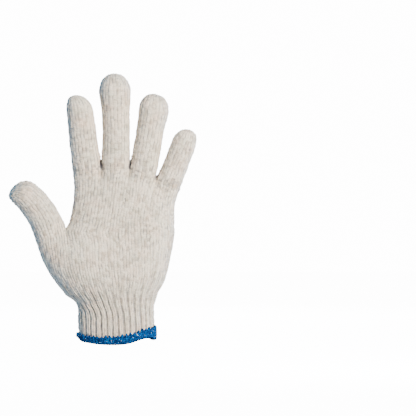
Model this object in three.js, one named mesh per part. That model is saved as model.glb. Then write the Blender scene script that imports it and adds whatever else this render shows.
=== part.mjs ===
// Cotton work glove for a left hand: a seamless knitted glove in its worn form.
// Millimetres. +Z runs from the wrist to the fingertips, the palm faces -Y and the thumb points to -X.
// The origin is the centre of the wrist opening, level with the lowest point of the hem.

import * as THREE from "three";

// Cloth
const clothThickness = 2;
const sectionGap = 0.3; // between two knitted sections, and between the hem and the cuff

// Ribbed cuff and its overlocked hem
const cuffWidth = 69;
const cuffDepth = 40;
const cuffHeight = 40; // from the lowest point of the hem to the palm
const ribHeight = 1.4; // from groove to ridge
const hemHeight = 7;
const hemGrowth = 0.3; // how much taller it is at the little finger's side, as a share
const hemThickness = 1.4;
const hemLowest = 0.16; // where it is lowest, as a share of the way from the middle to the thumb's side
const hemRise = 6; // how much higher it lies half the cuff's width away from there
const hemBackRise = 9; // and how much higher at the middle of the back
const toothHeight = 1.8;

// Palm, from the cuff to the thumb's crotch and on to the finger crotches
const cuffLean = 0.6; // how far the cuff's upper edge lies towards the thumb
const heelHeight = 65;
const heelDepth = 44;
const palmWidth = 98; // at the thumb's crotch
const palmDepth = 36;
const palmShift = 3.3; // from the middle of the wrist towards the little finger
const knuckleHeight = 55.9; // from the thumb's crotch to the crotch beside the middle finger
const knuckleShift = 8.8;
const thumbSideHollow = 4.1; // how far the palm draws in between thumb and index finger
const littleSideHollow = 3.2;
const heelForward = 2; // how far the heel of the hand stands forward of the wrist's middle
const knuckleBack = 5; // and how far the finger roots stand behind it
const crotchDepth = 10; // thickness of the hand at a finger crotch
const thumbCrotchDepth = 14;
const crotchSag = 3; // how far the cloth in front of a crotch and behind it hangs below its saddle
const knuckleFullness = 2; // how much deeper than the ring finger the palm is at the finger roots

// Fingers and thumb. Lengths run along the middle line, from the root to the tip.
const indexLength = 69.4;
const indexWidth = 25.2;
const indexDepth = 21.5;
const middleLength = 86.9;
const middleWidth = 24.3;
const middleDepth = 22;
const ringLength = 73.7;
const ringWidth = 24.6;
const ringDepth = 21;
const littleLength = 53.8;
const littleWidth = 22.2;
const littleDepth = 19;
const thumbLength = 59.2;
const thumbWidth = 28;
const thumbDepth = 25.5;
const thumbReach = 9; // how far the thumb's root stands forward of the palm's middle
const thumbReachDelay = 1.5; // power of the height with which it comes forward
const thumbReachWidth = 1.35; // how wide the part that comes forward is, as a share of the thumb's own part

// Columns of the mesh: each is one and a half wales of the knitting wide
const fingerColumns = 6;
const thumbColumns = 8;
const fingerCount = 4;
const palmColumns = fingerColumns * fingerCount;
const heelColumns = palmColumns + thumbColumns;
const rowHeight = 7;

// How full the oval sections are: 2 is an ellipse, more is squarer
const ovalPower = 2.2;
const cuffPower = 2.1;
const palmPower = 2.5;

// How the cloth of the cuff spreads into the palm: the wales at the edges spread first
const fanReach = [0.1, 0.6]; // share of the width that spreads, at the cuff and at the thumb's crotch
const fanSettled = 0.7; // share of the lower palm's height at which the wales lie evenly again
const thumbShareAtCuff = 0.21; // share of the cuff's width that the thumb's wales start from

// The tip of a finger: angles of its courses on the dome, in degrees
const tipAngles = [22, 42, 58, 70];
const settle = 0.3; // share of a finger's length over which its root's shape gives way to its own oval
const flareEnd = 0.3; // share of the length at which the flare of the root has gone
const swellFrom = 0.45; // and from which the finger swells towards its tip
const tipShiftPower = 3; // how late the middle of the tip moves to its side

// The mounds of the palm stand full between these shares of the lower and of the upper palm's height
const moundsFullFrom = 0.25;
const moundsFadeFrom = 0.75;

// How far the rims of the sections draw back from each other, as shares of the gap
const palmRimDraw = 0.7;
const fingerRimDraw = 0.5;
const fingerRootDraw = 2;

// Profile of the hem's band: side is the face of the cuff it lies on, 1 outside and -1 inside, clear how
// many gaps it keeps from that face, out how many of its thicknesses it stands further out, up its share
// of the height, above how many thicknesses higher it lies, and tooth how much it follows the teeth.
const hemProfile = [
  { side: 1, clear: 1.2, out: 1, up: 0.16, above: 0, tooth: 0 },
  { side: 1, clear: 1.2, out: 1, up: 0.8, above: 0, tooth: 0 },
  { side: 1, clear: 1.2, out: 0, up: 1, above: 0, tooth: 1 },
  { side: 1, clear: 1.2, out: 0, up: 0, above: 1, tooth: 0 },
  { side: -1, clear: 1.4, out: 0, up: 0, above: 1, tooth: 0 },
  { side: -1, clear: 1.4, out: 0, up: 0.9, above: 0, tooth: 0.6 },
  { side: -1, clear: 1.4, out: -0.8, up: 0.7, above: 0, tooth: 0 },
  { side: -1, clear: 1.4, out: 0.26, up: 0, above: 0, tooth: 0 },
  { side: 1, clear: 0, out: 0, up: 0, above: 0, tooth: 0 },
];

// Each finger's lengths are shares of its own width: spread, rise and shift. Angles are in degrees.
// lean is the tilt towards the little finger at the root and the tip, curl the tilt towards the palm.
// domeFrom is where the tip begins to round off, as a share of the length.
const fingers = [
  {
    name: "index_finger", length: indexLength, width: indexWidth, depth: indexDepth,
    spread: 1.023, rise: 0.071, lean: [-7, -7], curl: [2, 13],
    flare: 0.05, swell: -0.02, domeFrom: 0.72, bluntness: 2.3, shift: -0.13,
  },
  {
    name: "middle_finger", length: middleLength, width: middleWidth, depth: middleDepth,
    spread: 1.062, rise: 0.036, lean: [1, -3], curl: [1, 12],
    flare: 0.06, swell: 0.16, domeFrom: 0.81, bluntness: 2.1, shift: -0.02,
  },
  {
    name: "ring_finger", length: ringLength, width: ringWidth, depth: ringDepth,
    spread: 0.974, rise: -0.402, lean: [9.2, 8.6], curl: [2, 13],
    flare: -0.03, swell: 0.1, domeFrom: 0.8, bluntness: 2.15, shift: -0.05,
  },
  {
    name: "little_finger", length: littleLength, width: littleWidth, depth: littleDepth,
    spread: 0.957, rise: -0.428, lean: [22, 17.4], curl: [3, 15],
    flare: 0, swell: 0, domeFrom: 0.72, bluntness: 2.1, shift: 0.04,
  },
];
const thumb = {
  name: "thumb", length: thumbLength, width: thumbWidth, depth: thumbDepth,
  spread: 0.935, rise: 0.453, lean: [-15, -56.5], curl: [10, 22],
  flare: 0.02, swell: -0.11, domeFrom: 0.77, bluntness: 2.7, shift: -0.2,
};

// Courses of the lower palm. up is a share of the height; left and right are shares of the way out from the
// cuff's edge to the thumb's root and to the little finger's side; heel is how full the depth is there;
// ribs is how much of the cuff's ribbing runs on; lobes is how far thumb and palm have parted.
const heelRows = [
  { up: 0, left: 0.08, right: 0.05, heel: 0, ribs: 1, lobes: 0 },
  { up: 0.05, left: 0.205, right: 0.12, heel: 0.3, ribs: 0.9, lobes: 0 },
  { up: 0.12, left: 0.32, right: 0.2, heel: 0.58, ribs: 0.7, lobes: 0 },
  { up: 0.22, left: 0.43, right: 0.4, heel: 0.85, ribs: 0.45, lobes: 0 },
  { up: 0.35, left: 0.575, right: 0.59, heel: 1, ribs: 0.18, lobes: 0 },
  { up: 0.5, left: 0.72, right: 0.72, heel: 0.9, ribs: 0, lobes: 0 },
  { up: 0.66, left: 0.845, right: 0.83, heel: 0.68, ribs: 0, lobes: 0.08 },
  { up: 0.8, left: 0.925, right: 0.92, heel: 0.4, ribs: 0, lobes: 0.3 },
  { up: 0.9, left: 0.965, right: 0.96, heel: 0.2, ribs: 0, lobes: 0.55 },
  { up: 1, left: 1, right: 1, heel: 0, ribs: 0, lobes: 0.85 },
];

// Courses of the upper palm. left and right are shares of the two hollows at its sides.
const palmRows = [
  { up: 0, left: 0, right: 0, lobes: 0 },
  { up: 0.1, left: 0.58, right: 0.2, lobes: 0 },
  { up: 0.22, left: 0.76, right: 0.42, lobes: 0 },
  { up: 0.34, left: 0.98, right: 0.62, lobes: 0 },
  { up: 0.46, left: 1, right: 0.86, lobes: 0 },
  { up: 0.58, left: 0.97, right: 1, lobes: 0.03 },
  { up: 0.7, left: 0.84, right: 0.98, lobes: 0.12 },
  { up: 0.8, left: 0.62, right: 0.82, lobes: 0.3 },
  { up: 0.9, left: 0.33, right: 0.48, lobes: 0.62 },
  { up: 1, left: 0, right: 0, lobes: 1 },
];

// Courses of the cuff. up is a share of its height, wide and deep are shares of its width and depth, and
// lean is a share of how far it leans towards the thumb.
const cuffRows = [
  { up: 0, wide: 0.975, deep: 1.01, lean: 0 },
  { up: 0.3, wide: 0.978, deep: 1.008, lean: 0.3 },
  { up: 0.55, wide: 0.984, deep: 0.99, lean: 0.9 },
  { up: 0.8, wide: 0.985, deep: 0.98, lean: 1.1 },
  { up: 0.92, wide: 1.012, deep: 0.988, lean: 1.6 },
  { up: 1, wide: 1, deep: 1, lean: 1 },
];

// Soft mounds and hollows of the palm side: across is a share of the palm's width from its middle, up a
// share of the whole palm's height, lift and the reaches are shares of the palm's depth.
const mounds = [
  { name: "thumb mound", across: -0.42, up: 0.34, lift: 0.12, reachAcross: 0.62, reachUp: 0.8 },
  { name: "outer mound", across: 0.32, up: 0.28, lift: 0.07, reachAcross: 0.5, reachUp: 0.8 },
  { name: "palm hollow", across: -0.02, up: 0.55, lift: -0.08, reachAcross: 0.6, reachUp: 0.85 },
  { name: "finger pads", across: 0.02, up: 0.86, lift: 0.04, reachAcross: 1.2, reachUp: 0.3 },
];

const cotton = { color: 0xd8d0c6, roughness: 0.95, metalness: 0 };
const colours = { overlock_hem: { color: 0x175d97, roughness: 0.9, metalness: 0 } };

const degrees = Math.PI / 180;
const mix = THREE.MathUtils.lerp;
const ease = THREE.MathUtils.smoothstep;

// A column of a table at a place between two of its rows
function between(rows, column, up) {
  const next = Math.max(1, rows.findIndex((row) => row.up >= up));
  const [below, above] = [rows[next - 1], rows[next]];
  return mix(below[column], above[column], (up - below.up) / (above.up - below.up));
}

// Height of the finger crotches and root ends, from the index finger's outer side to the little finger's
const palmTop = cuffHeight + heelHeight;
const rises = fingers.map((finger) => finger.rise * finger.width);
const spreads = fingers.map((finger) => finger.spread * finger.width);
const knuckleWidth = spreads.reduce((sum, spread) => sum + spread, 0);
const rootEnds = [{ x: knuckleShift - knuckleWidth / 2, z: palmTop + knuckleHeight - rises[0] }];
fingers.forEach((finger, i) => {
  rootEnds.push({ x: rootEnds[i].x + spreads[i], z: rootEnds[i].z + rises[i] });
});
const thumbCrotch = { x: palmShift - palmWidth / 2, z: palmTop };
const thumbOuter = {
  x: thumbCrotch.x - thumb.spread * thumbWidth,
  z: palmTop - thumb.rise * thumbWidth,
};

// How far the palm side stands out at a place, towards the viewer of the palm
function moundAt(x, z) {
  const up = (z - cuffHeight) / (heelHeight + knuckleHeight);
  return mounds.reduce((sum, mound) => {
    const across = (x - palmShift - mound.across * palmWidth) / (mound.reachAcross * palmDepth);
    const along = ((up - mound.up) * (heelHeight + knuckleHeight)) / (mound.reachUp * palmDepth);
    return sum + mound.lift * palmDepth * Math.exp(-across * across - along * along);
  }, 0);
}

// A course across the front (side -1) or the back (side 1) of the hand, between two of its stops.
// Half a turn of angle goes from the left edge to the right edge of a rounded oval section.
class CourseSpan extends THREE.Curve {
  constructor(row, side, from, to) {
    super();
    Object.assign(this, { row, side, from, to });
  }

  getPoint(share) {
    const { row, side } = this;
    const angle = mix(this.from, this.to, share);
    const power = 2 / row.squareness;
    const across = -Math.sign(Math.cos(angle)) * Math.abs(Math.cos(angle)) ** power;
    const x = row.middle + row.half * across;
    const last = row.stops.length - 2;
    const span = Math.min(last, row.stops.findLastIndex((stop) => stop.x <= x + 1e-9));
    const [start, end] = [row.stops[Math.max(0, span)], row.stops[Math.max(0, span) + 1]];
    const place = (x - start.x) / (end.x - start.x);
    const z = mix(start.z, end.z, place);
    const oval = (row.depth / 2) * Math.abs(Math.sin(angle)) ** power;
    const halfDepth = mix(oval, lobeDepth(start, end, place), row.lobes);
    const lean = row.forward + row.reach * (1 - ease(x, row.stops[0].x, row.reachEnd));
    const mound = side < 0 ? moundAt(x, z) * row.mounds * Math.sin(angle) : 0;
    return new THREE.Vector3(x, side * halfDepth - lean - mound, z);
  }
}

// Half the depth across one finger's root: an oval that narrows to the crotch depth at an inner end, and
// closes at an outer end of the hand
function lobeDepth(start, end, place) {
  const full = start.lobe / 2;
  const across = Math.abs(2 * place - 1);
  const edge = place < 0.5 ? start.thick : end.thick;
  const power = start.power;
  return full * Math.max(0, 1 - (1 - (edge / 2 / full) ** power) * across ** power) ** (1 / power);
}

// Angle on the section at which a stop lies
function angleOf(row, x) {
  const across = Math.min(1, Math.max(-1, (x - row.middle) / row.half));
  return Math.acos(-Math.sign(across) * Math.abs(across) ** (row.squareness / 2));
}

// Points at given distances along a line of points
function along(line, distances) {
  const lengths = [0];
  line.slice(1).forEach((point, i) => lengths.push(lengths[i] + point.distanceTo(line[i])));
  return distances.map((distance) => {
    const found = lengths.findIndex((length) => length >= distance);
    const next = found < 0 ? line.length - 1 : Math.max(1, found);
    const share = (distance - lengths[next - 1]) / (lengths[next] - lengths[next - 1]);
    return line[next - 1].clone().lerp(line[next], Math.min(1, share));
  });
}

// Where a column lies when the cloth has spread at its two edges only: left and right are how far the
// edges have moved out
function fanned(column, count, length, { left, right, reach }) {
  const fall = (distance) => Math.exp(-distance / (reach * count));
  const full = 1 - fall(count);
  const spread = (left * (1 - fall(column)) + right * (fall(count - column) - fall(count))) / full;
  return ((length - left - right) * column) / count + spread;
}

// One course round the hand: the left edge, the front from left to right, the right edge, and the back
function course(row) {
  const { stops, fan } = row;
  row.middle = (stops[0].x + stops.at(-1).x) / 2;
  row.half = (stops.at(-1).x - stops[0].x) / 2;
  const count = stops.reduce((sum, stop) => sum + (stop.columns ?? 0), 0);
  const sides = [-1, 1].map((side) => {
    const line = [];
    const distances = [0];
    stops.slice(1).forEach((stop, i) => {
      const span = new CourseSpan(row, side, angleOf(row, stops[i].x), angleOf(row, stop.x));
      const start = distances.at(-1);
      for (let k = 1; k <= stops[i].columns; k += 1) {
        distances.push(start + (span.getLength() * k) / stops[i].columns);
      }
      line.push(...span.getPoints(span.arcLengthDivisions).slice(i ? 1 : 0));
    });
    const length = distances.at(-1);
    const places = distances.map((distance, column) => {
      return fan ? mix(fanned(column, count, length, fan), distance, fan.settled) : distance;
    });
    return along(line, places);
  });
  return [...sides[0], ...sides[1].slice(1, -1).reverse()];
}

// Ribs: every other column of the ring stands out
function ribbed(ring, amount) {
  const centre = ring.reduce((sum, point) => sum.add(point), new THREE.Vector3()).divideScalar(ring.length);
  return ring.map((point, i) => {
    const out = point.clone().sub(centre).setZ(0).normalize();
    return point.clone().addScaledVector(out, ((i % 2 ? 1 : -1) * ribHeight * amount) / 2);
  });
}

// Courses of the lower palm, from the cuff to the thumb's crotch
function heelRing(up) {
  const at = (column) => between(heelRows, column, up);
  const left = mix(-cuffWidth / 2 - cuffLean, thumbOuter.x, at("left"));
  const right = mix(cuffWidth / 2 - cuffLean, thumbCrotch.x + palmWidth, at("right"));
  const thumbShare = (thumbCrotch.x - thumbOuter.x) / (thumbCrotch.x - thumbOuter.x + palmWidth);
  const share = mix(thumbShareAtCuff, thumbShare, up);
  const crotchLevel = mix(cuffHeight, palmTop - crotchSag, up);
  const outer = { lobe: thumbDepth, power: ovalPower, thick: 0 };
  const row = {
    squareness: mix(cuffPower, palmPower, up),
    depth: mix(mix(cuffDepth, palmDepth, up), heelDepth, at("heel")),
    lobes: at("lobes"),
    forward: heelForward * at("heel"),
    reach: thumbReach * up ** thumbReachDelay,
    reachEnd: mix(left, right, share * thumbReachWidth),
    mounds: ease(up, 0, moundsFullFrom),
    fan: {
      left: -cuffWidth / 2 - cuffLean - left,
      right: right - cuffWidth / 2 + cuffLean,
      reach: mix(...fanReach, up),
      settled: ease(up, 0, fanSettled),
    },
    stops: [
      { x: left, z: mix(cuffHeight, thumbOuter.z, up), columns: thumbColumns + 1, ...outer },
      { x: mix(left, right, share), z: crotchLevel, columns: palmColumns + 1, lobe: palmDepth,
        power: palmPower, thick: thumbCrotchDepth },
      { x: right, z: crotchLevel, thick: 0 },
    ],
  };
  return ribbed(course(row), at("ribs"));
}

// Courses of the upper palm, from the thumb's crotch to the finger roots
function palmRing(up) {
  const at = (column) => between(palmRows, column, up);
  const left = mix(thumbCrotch.x, rootEnds[0].x, up) + thumbSideHollow * at("left");
  const right = mix(thumbCrotch.x + palmWidth, rootEnds[fingerCount].x, up) - littleSideHollow * at("right");
  const stops = rootEnds.map((end, i) => {
    const even = mix(left, right, i / fingerCount);
    const parted = mix(left, right, (end.x - rootEnds[0].x) / knuckleWidth);
    const outer = i === 0 || i === fingerCount;
    return {
      x: mix(even, parted, ease(up, 0, 1)),
      z: mix(palmTop, end.z, up) - crotchSag,
      columns: fingerColumns + (outer || i === fingerCount - 1 ? 1 : 0),
      lobe: fingers[Math.min(i, fingerCount - 1)].depth,
      power: ovalPower,
      thick: outer ? 0 : crotchDepth,
    };
  });
  return course({
    squareness: palmPower,
    depth: mix(palmDepth, ringDepth + knuckleFullness, ease(up, 0, 1)),
    lobes: at("lobes"),
    forward: -knuckleBack * ease(up, 0, 1),
    reach: 0,
    reachEnd: right,
    mounds: 1 - ease(up, moundsFadeFrom, 1),
    stops,
  });
}

// Courses of the cuff, from its lower edge inside the hem to the palm
function cuffRing(up) {
  const wide = (cuffWidth / 2) * between(cuffRows, "wide", up);
  const deep = (cuffDepth / 2) * between(cuffRows, "deep", up);
  const lean = cuffLean * between(cuffRows, "lean", up);
  const level = { columns: 0, lobe: cuffDepth, power: 2, thick: 0, z: 0 };
  const ring = course({
    squareness: cuffPower, depth: 2 * deep, lobes: 0, forward: 0, reach: 0, reachEnd: wide, mounds: 0,
    stops: [{ ...level, x: -wide - lean, columns: heelColumns + 2 }, { ...level, x: wide - lean }],
  });
  ring.forEach((point) => {
    point.z = mix(hemLine(point) + hemThickness + 2 * sectionGap, cuffHeight, up);
  });
  return ribbed(ring, 1);
}

// Share of the way from the middle of the cuff to its side
function acrossCuff(point) {
  return Math.min(1, Math.max(-1, point.x / (cuffWidth / 2)));
}

// Lower edge of the hem: lowest at the front, higher at the sides and the back
function hemLine(point) {
  const across = acrossCuff(point);
  const front = hemRise * (across + hemLowest) ** 2;
  return point.y < 0 ? front : front + hemBackRise * (1 - across ** 2);
}

// Middle line of a finger: where it is and which way it points at each share of its length
function middleLine(finger, root) {
  const steps = 40;
  const direction = (share) => {
    const lean = mix(...finger.lean, share) * degrees;
    const curl = mix(...finger.curl, share) * degrees;
    const upright = Math.cos(curl);
    return new THREE.Vector3(Math.sin(lean) * upright, -Math.sin(curl), Math.cos(lean) * upright);
  };
  return (share) => {
    const centre = root.clone();
    for (let i = 0; i < steps; i += 1) {
      centre.addScaledVector(direction((share * (i + 0.5)) / steps), (finger.length * share) / steps);
    }
    const along = direction(share);
    const across = new THREE.Vector3(0, 1, 0).cross(along).normalize();
    return { centre, along, across, back: along.clone().cross(across) };
  };
}

// A finger's own section: an oval, its points evenly spaced from its left side round by the front
class Oval extends THREE.Curve {
  constructor(halfWidth, halfDepth) {
    super();
    Object.assign(this, { halfWidth, halfDepth });
  }

  getPoint(share) {
    const angle = share * 2 * Math.PI;
    const rounded = (value) => Math.sign(value) * Math.abs(value) ** (2 / ovalPower);
    const x = -this.halfWidth * rounded(Math.cos(angle));
    return new THREE.Vector3(x, -this.halfDepth * rounded(Math.sin(angle)), 0);
  }
}

// Rings of a finger from its root to its rounded tip, and the line of points that closes the tip
function fingerRings(finger, rootRing) {
  const count = rootRing.length;
  const root = rootRing.reduce((sum, point) => sum.add(point), new THREE.Vector3()).divideScalar(count);
  const line = middleLine(finger, root);
  const shaftRows = Math.max(4, Math.round((finger.length * finger.domeFrom) / rowHeight));
  const stations = Array.from({ length: shaftRows }, (_, i) => ({
    at: (finger.domeFrom * (i + 1)) / shaftRows,
    round: 0,
  }));
  tipAngles.forEach((angle) => {
    const round = Math.sin(angle * degrees);
    stations.push({ at: mix(finger.domeFrom, 1, round), round });
  });
  const rings = [rootRing];
  stations.forEach(({ at, round }) => {
    const { centre, across, back } = line(at);
    const flare = finger.flare * (1 - ease(at, 0, flareEnd));
    const girth = 1 + flare + finger.swell * ease(at, swellFrom, finger.domeFrom);
    const dome = (1 - round ** finger.bluntness) ** (1 / finger.bluntness);
    const oval = new Oval((finger.width / 2) * girth * dome, (finger.depth / 2) * girth * dome);
    const points = oval.getSpacedPoints(count).slice(0, count);
    const shift = finger.shift * finger.width * round ** tipShiftPower;
    const blend = ease(at, 0, settle);
    rings.push(points.map((point, i) => {
      const own = centre.clone().addScaledVector(across, point.x + shift).addScaledVector(back, point.y);
      const fromRoot = rootRing[i].clone().add(centre).sub(root);
      return fromRoot.lerp(own, blend);
    }));
  });
  const last = rings.at(-1);
  const front = count / 2 - 1;
  const top = line(1);
  const crown = [];
  for (let i = 2; i < front; i += 1) {
    const middle = last[i].clone().lerp(last[count - i], 0.5);
    const offset = middle.distanceTo(last[0].clone().lerp(last[count / 2], 0.5));
    const share = Math.min(1, (2 * offset) / finger.width);
    const lift = (1 - share ** finger.bluntness) ** (1 / finger.bluntness);
    const height = finger.length * (1 - finger.domeFrom) * (lift - Math.sin(tipAngles.at(-1) * degrees));
    crown.push(middle.addScaledVector(top.along, height));
  }
  return { rings, crown };
}

// The whole glove as one sheet: points in space, and faces that belong to the named sections
const points = [];
const faces = [];

function addPoints(list) {
  return list.map((point) => points.push(point) - 1);
}

function bridge(part, lower, upper) {
  lower.forEach((a, i) => {
    const next = (i + 1) % lower.length;
    faces.push({ part, corners: [a, lower[next], upper[next], upper[i]] });
  });
}

function loft(part, first, rings) {
  return rings.reduce((below, ring) => {
    const above = addPoints(ring);
    bridge(part, below, above);
    return above;
  }, first);
}

// The crown of a fingertip: a row of points between the front and the back columns of the last ring
function closeTip(part, ring, crown) {
  const count = ring.length;
  const front = count / 2 - 1;
  const row = addPoints(crown);
  faces.push({ part, corners: [ring[0], ring[1], ring[2], row[0]] });
  faces.push({ part, corners: [ring[count - 1], ring[0], row[0], ring[count - 2]] });
  faces.push({ part, corners: [ring[front - 1], ring[front], ring[front + 1], row.at(-1)] });
  faces.push({ part, corners: [ring[front + 1], ring[front + 2], ring[front + 3], row.at(-1)] });
  for (let i = 2; i < front - 1; i += 1) {
    faces.push({ part, corners: [ring[i], ring[i + 1], row[i - 1], row[i - 2]] });
    faces.push({ part, corners: [row[i - 2], row[i - 1], ring[count - i - 1], ring[count - i]] });
  }
}

function addFinger(finger, root) {
  const { rings, crown } = fingerRings(finger, root.map((index) => points[index]));
  closeTip(finger.name, loft(finger.name, root, rings.slice(1)), crown);
}

// The saddle between two fingers, halfway between the columns in front and behind
function saddle(front, back) {
  const middle = points[front].clone().lerp(points[back], 0.5);
  return addPoints([middle.setZ(middle.z + crotchSag)])[0];
}

const cuffStart = addPoints(cuffRing(0));
const cuffEnd = loft("rib_cuff", cuffStart, cuffRows.slice(1, -1).map((row) => cuffRing(row.up)));
const heelStart = addPoints(heelRing(0));
bridge("rib_cuff", cuffEnd, heelStart);
const split = loft("palm", heelStart, heelRows.slice(1).map((row) => heelRing(row.up)));

// At the thumb's crotch the ring parts into the thumb's root and the upper palm
const heelCount = split.length;
const thumbFront = thumbColumns + 1;
const thumbBack = heelCount - thumbFront;
const thumbSaddle = saddle(split[thumbFront], split[thumbBack]);
const thumbRoot = [...split.slice(0, thumbFront + 1), thumbSaddle, ...split.slice(thumbBack)];
const palmStart = [thumbSaddle, ...split.slice(thumbFront, thumbBack + 1)];
const palmEnd = loft("palm", palmStart, palmRows.slice(1).map((row) => palmRing(row.up)));
addFinger(thumb, thumbRoot);

// At the finger crotches the upper palm parts into the four finger roots
const palmCount = palmEnd.length;
const saddles = [palmEnd[0]];
for (let i = 1; i < fingerCount; i += 1) {
  const column = 1 + i * fingerColumns;
  saddles.push(saddle(palmEnd[column], palmEnd[palmCount - column]));
}
saddles.push(palmEnd[palmColumns + 2]);
fingers.forEach((finger, i) => {
  const first = 1 + i * fingerColumns;
  const last = first + fingerColumns;
  const front = palmEnd.slice(first, last + 1);
  const back = palmEnd.slice(palmCount - last, palmCount - first + 1);
  addFinger(finger, [saddles[i], ...front, saddles[i + 1], ...back]);
});

// Direction outwards at each point of the whole sheet
const outwards = points.map(() => new THREE.Vector3());
faces.forEach(({ corners }) => {
  const [a, b, c, d] = corners.map((index) => points[index]);
  const normal = c.clone().sub(a).cross(d.clone().sub(b));
  corners.forEach((index) => outwards[index].add(normal));
});
outwards.forEach((normal) => normal.normalize());

// One section of the sheet as a closed solid with the cloth's thickness. Where it meets another section
// its edge draws back by half the gap, and the root of a finger draws in towards its own middle as well.
function section(part, drawIn) {
  const own = faces.filter((face) => face.part === part);
  const used = [...new Set(own.flatMap((face) => face.corners))];
  const neighbours = new Map(used.map((index) => [index, new THREE.Vector3()]));
  const edges = new Set();
  own.forEach(({ corners }) => {
    const centre = corners.reduce((sum, index) => sum.add(points[index]), new THREE.Vector3());
    centre.divideScalar(corners.length);
    corners.forEach((index, i) => {
      edges.add(`${index},${corners[(i + 1) % corners.length]}`);
      neighbours.get(index).add(centre.clone().sub(points[index]));
    });
  });
  const open = [...edges].map((edge) => edge.split(",").map(Number));
  const rim = open.filter(([a, b]) => !edges.has(`${b},${a}`));
  const onRim = new Set(rim.flat());
  const middle = new THREE.Vector3();
  onRim.forEach((index) => middle.addScaledVector(points[index], 1 / onRim.size));
  const place = new Map(used.map((index, order) => [index, order]));
  const positions = [];
  [0, clothThickness].forEach((depth) => {
    used.forEach((index) => {
      const point = points[index].clone().addScaledVector(outwards[index], -depth);
      if (onRim.has(index)) {
        const pull = drawIn ? fingerRimDraw : palmRimDraw;
        point.addScaledVector(neighbours.get(index).normalize(), sectionGap * pull);
        const inwards = middle.clone().sub(point).setZ(0).normalize();
        if (drawIn) point.addScaledVector(inwards, sectionGap * fingerRootDraw);
      }
      positions.push(...point.toArray());
    });
  });
  const triangles = [];
  const inner = (index) => place.get(index) + used.length;
  const outer = (index) => place.get(index);
  own.forEach(({ corners }) => {
    const [a, b, c, d] = corners;
    triangles.push(...[a, b, c, a, c, d].map(outer), ...[c, b, a, d, c, a].map(inner));
  });
  rim.forEach(([a, b]) => {
    triangles.push(outer(b), outer(a), inner(a), outer(b), inner(a), inner(b));
  });
  return { positions, triangles };
}

// The overlocked hem: a folded band round the cuff's lower edge, its upper edge toothed along the ribs
function hem() {
  const positions = [];
  const triangles = [];
  const size = hemProfile.length;
  cuffStart.forEach((index, column) => {
    const point = points[index];
    const out = outwards[index].clone().setZ(0).normalize();
    const height = hemHeight * (1 + hemGrowth * acrossCuff(point));
    hemProfile.forEach((spot) => {
      const face = spot.side < 0 ? -clothThickness : 0;
      const distance = face + spot.side * spot.clear * sectionGap + spot.out * hemThickness;
      const tooth = spot.tooth * (column % 2 ? 0.5 : -0.5) * toothHeight;
      const z = hemLine(point) + spot.up * height + spot.above * hemThickness + tooth;
      const place = point.clone().addScaledVector(out, distance).setZ(z);
      positions.push(...place.toArray());
    });
    const next = (column + 1) % cuffStart.length;
    hemProfile.forEach((_, i) => {
      const j = (i + 1) % size;
      const [a, b, c, d] = [column * size + i, next * size + i, next * size + j, column * size + j];
      triangles.push(a, b, c, a, c, d);
    });
  });
  return { positions, triangles };
}

function mesh(name, { positions, triangles }) {
  const geometry = new THREE.BufferGeometry();
  geometry.setAttribute("position", new THREE.Float32BufferAttribute(positions, 3));
  geometry.setIndex(triangles);
  geometry.computeVertexNormals();
  const made = new THREE.Mesh(geometry, new THREE.MeshStandardMaterial(colours[name] ?? cotton));
  made.name = name;
  return made;
}

const group = new THREE.Group();
group.name = "cotton_work_glove";
group.add(mesh("overlock_hem", hem()));
group.add(mesh("rib_cuff", section("rib_cuff", false)));
group.add(mesh("palm", section("palm", false)));
[thumb, ...fingers].forEach((finger) => group.add(mesh(finger.name, section(finger.name, true))));

export default group;
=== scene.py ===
import math

import bpy
import numpy as np
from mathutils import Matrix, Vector


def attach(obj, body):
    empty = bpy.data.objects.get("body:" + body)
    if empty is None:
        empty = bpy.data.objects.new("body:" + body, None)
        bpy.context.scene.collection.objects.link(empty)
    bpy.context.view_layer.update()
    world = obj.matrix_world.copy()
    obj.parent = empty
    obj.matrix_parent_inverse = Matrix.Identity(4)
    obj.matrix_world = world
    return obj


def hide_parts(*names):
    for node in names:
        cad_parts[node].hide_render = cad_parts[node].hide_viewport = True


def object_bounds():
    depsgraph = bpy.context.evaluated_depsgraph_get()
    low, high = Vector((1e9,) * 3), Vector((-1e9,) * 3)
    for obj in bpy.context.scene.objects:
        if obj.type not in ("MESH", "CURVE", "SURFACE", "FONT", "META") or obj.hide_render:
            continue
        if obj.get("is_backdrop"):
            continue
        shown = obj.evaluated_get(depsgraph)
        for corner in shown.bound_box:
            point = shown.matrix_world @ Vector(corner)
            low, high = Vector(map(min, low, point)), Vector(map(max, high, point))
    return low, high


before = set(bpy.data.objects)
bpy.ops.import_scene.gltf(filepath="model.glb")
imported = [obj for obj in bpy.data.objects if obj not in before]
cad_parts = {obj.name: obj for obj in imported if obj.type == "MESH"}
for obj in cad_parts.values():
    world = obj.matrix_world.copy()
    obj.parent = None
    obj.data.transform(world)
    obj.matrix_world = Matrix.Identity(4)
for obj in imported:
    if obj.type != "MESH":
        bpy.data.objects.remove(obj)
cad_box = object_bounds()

# Sizes of the glove, in metres, as in the frame
MM = 0.001
CLOTH_THICKNESS = 2 * MM
CUFF_WIDTH = 69 * MM
CUFF_DEPTH = 40 * MM
CUFF_HEIGHT = 40 * MM
HEM_HEIGHT = 8 * MM
HEM_GROWTH = 0.22  # how much taller it is at the little finger's side, as a share
HEM_THICKNESS = 1.4 * MM
HEM_LOWEST = 0.1  # where it is lowest, as a share of the way from the middle to the thumb's side
HEM_RISE = 4.5 * MM  # of its lower edge, from the middle to the sides
HEM_BACK_RISE = 9 * MM  # and more than that in the middle of the back
HEM_CORNERS = (3.2 * MM, -2.2 * MM)  # how far its lower edge turns up at its left end and down at its right
HEM_CORNER_FROM = 0.86  # where the ends begin to turn, as a share of the way from the middle to a side
HEM_WAVE = 2.3 * MM  # how far the hem lifts between its middle and its right end
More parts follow.
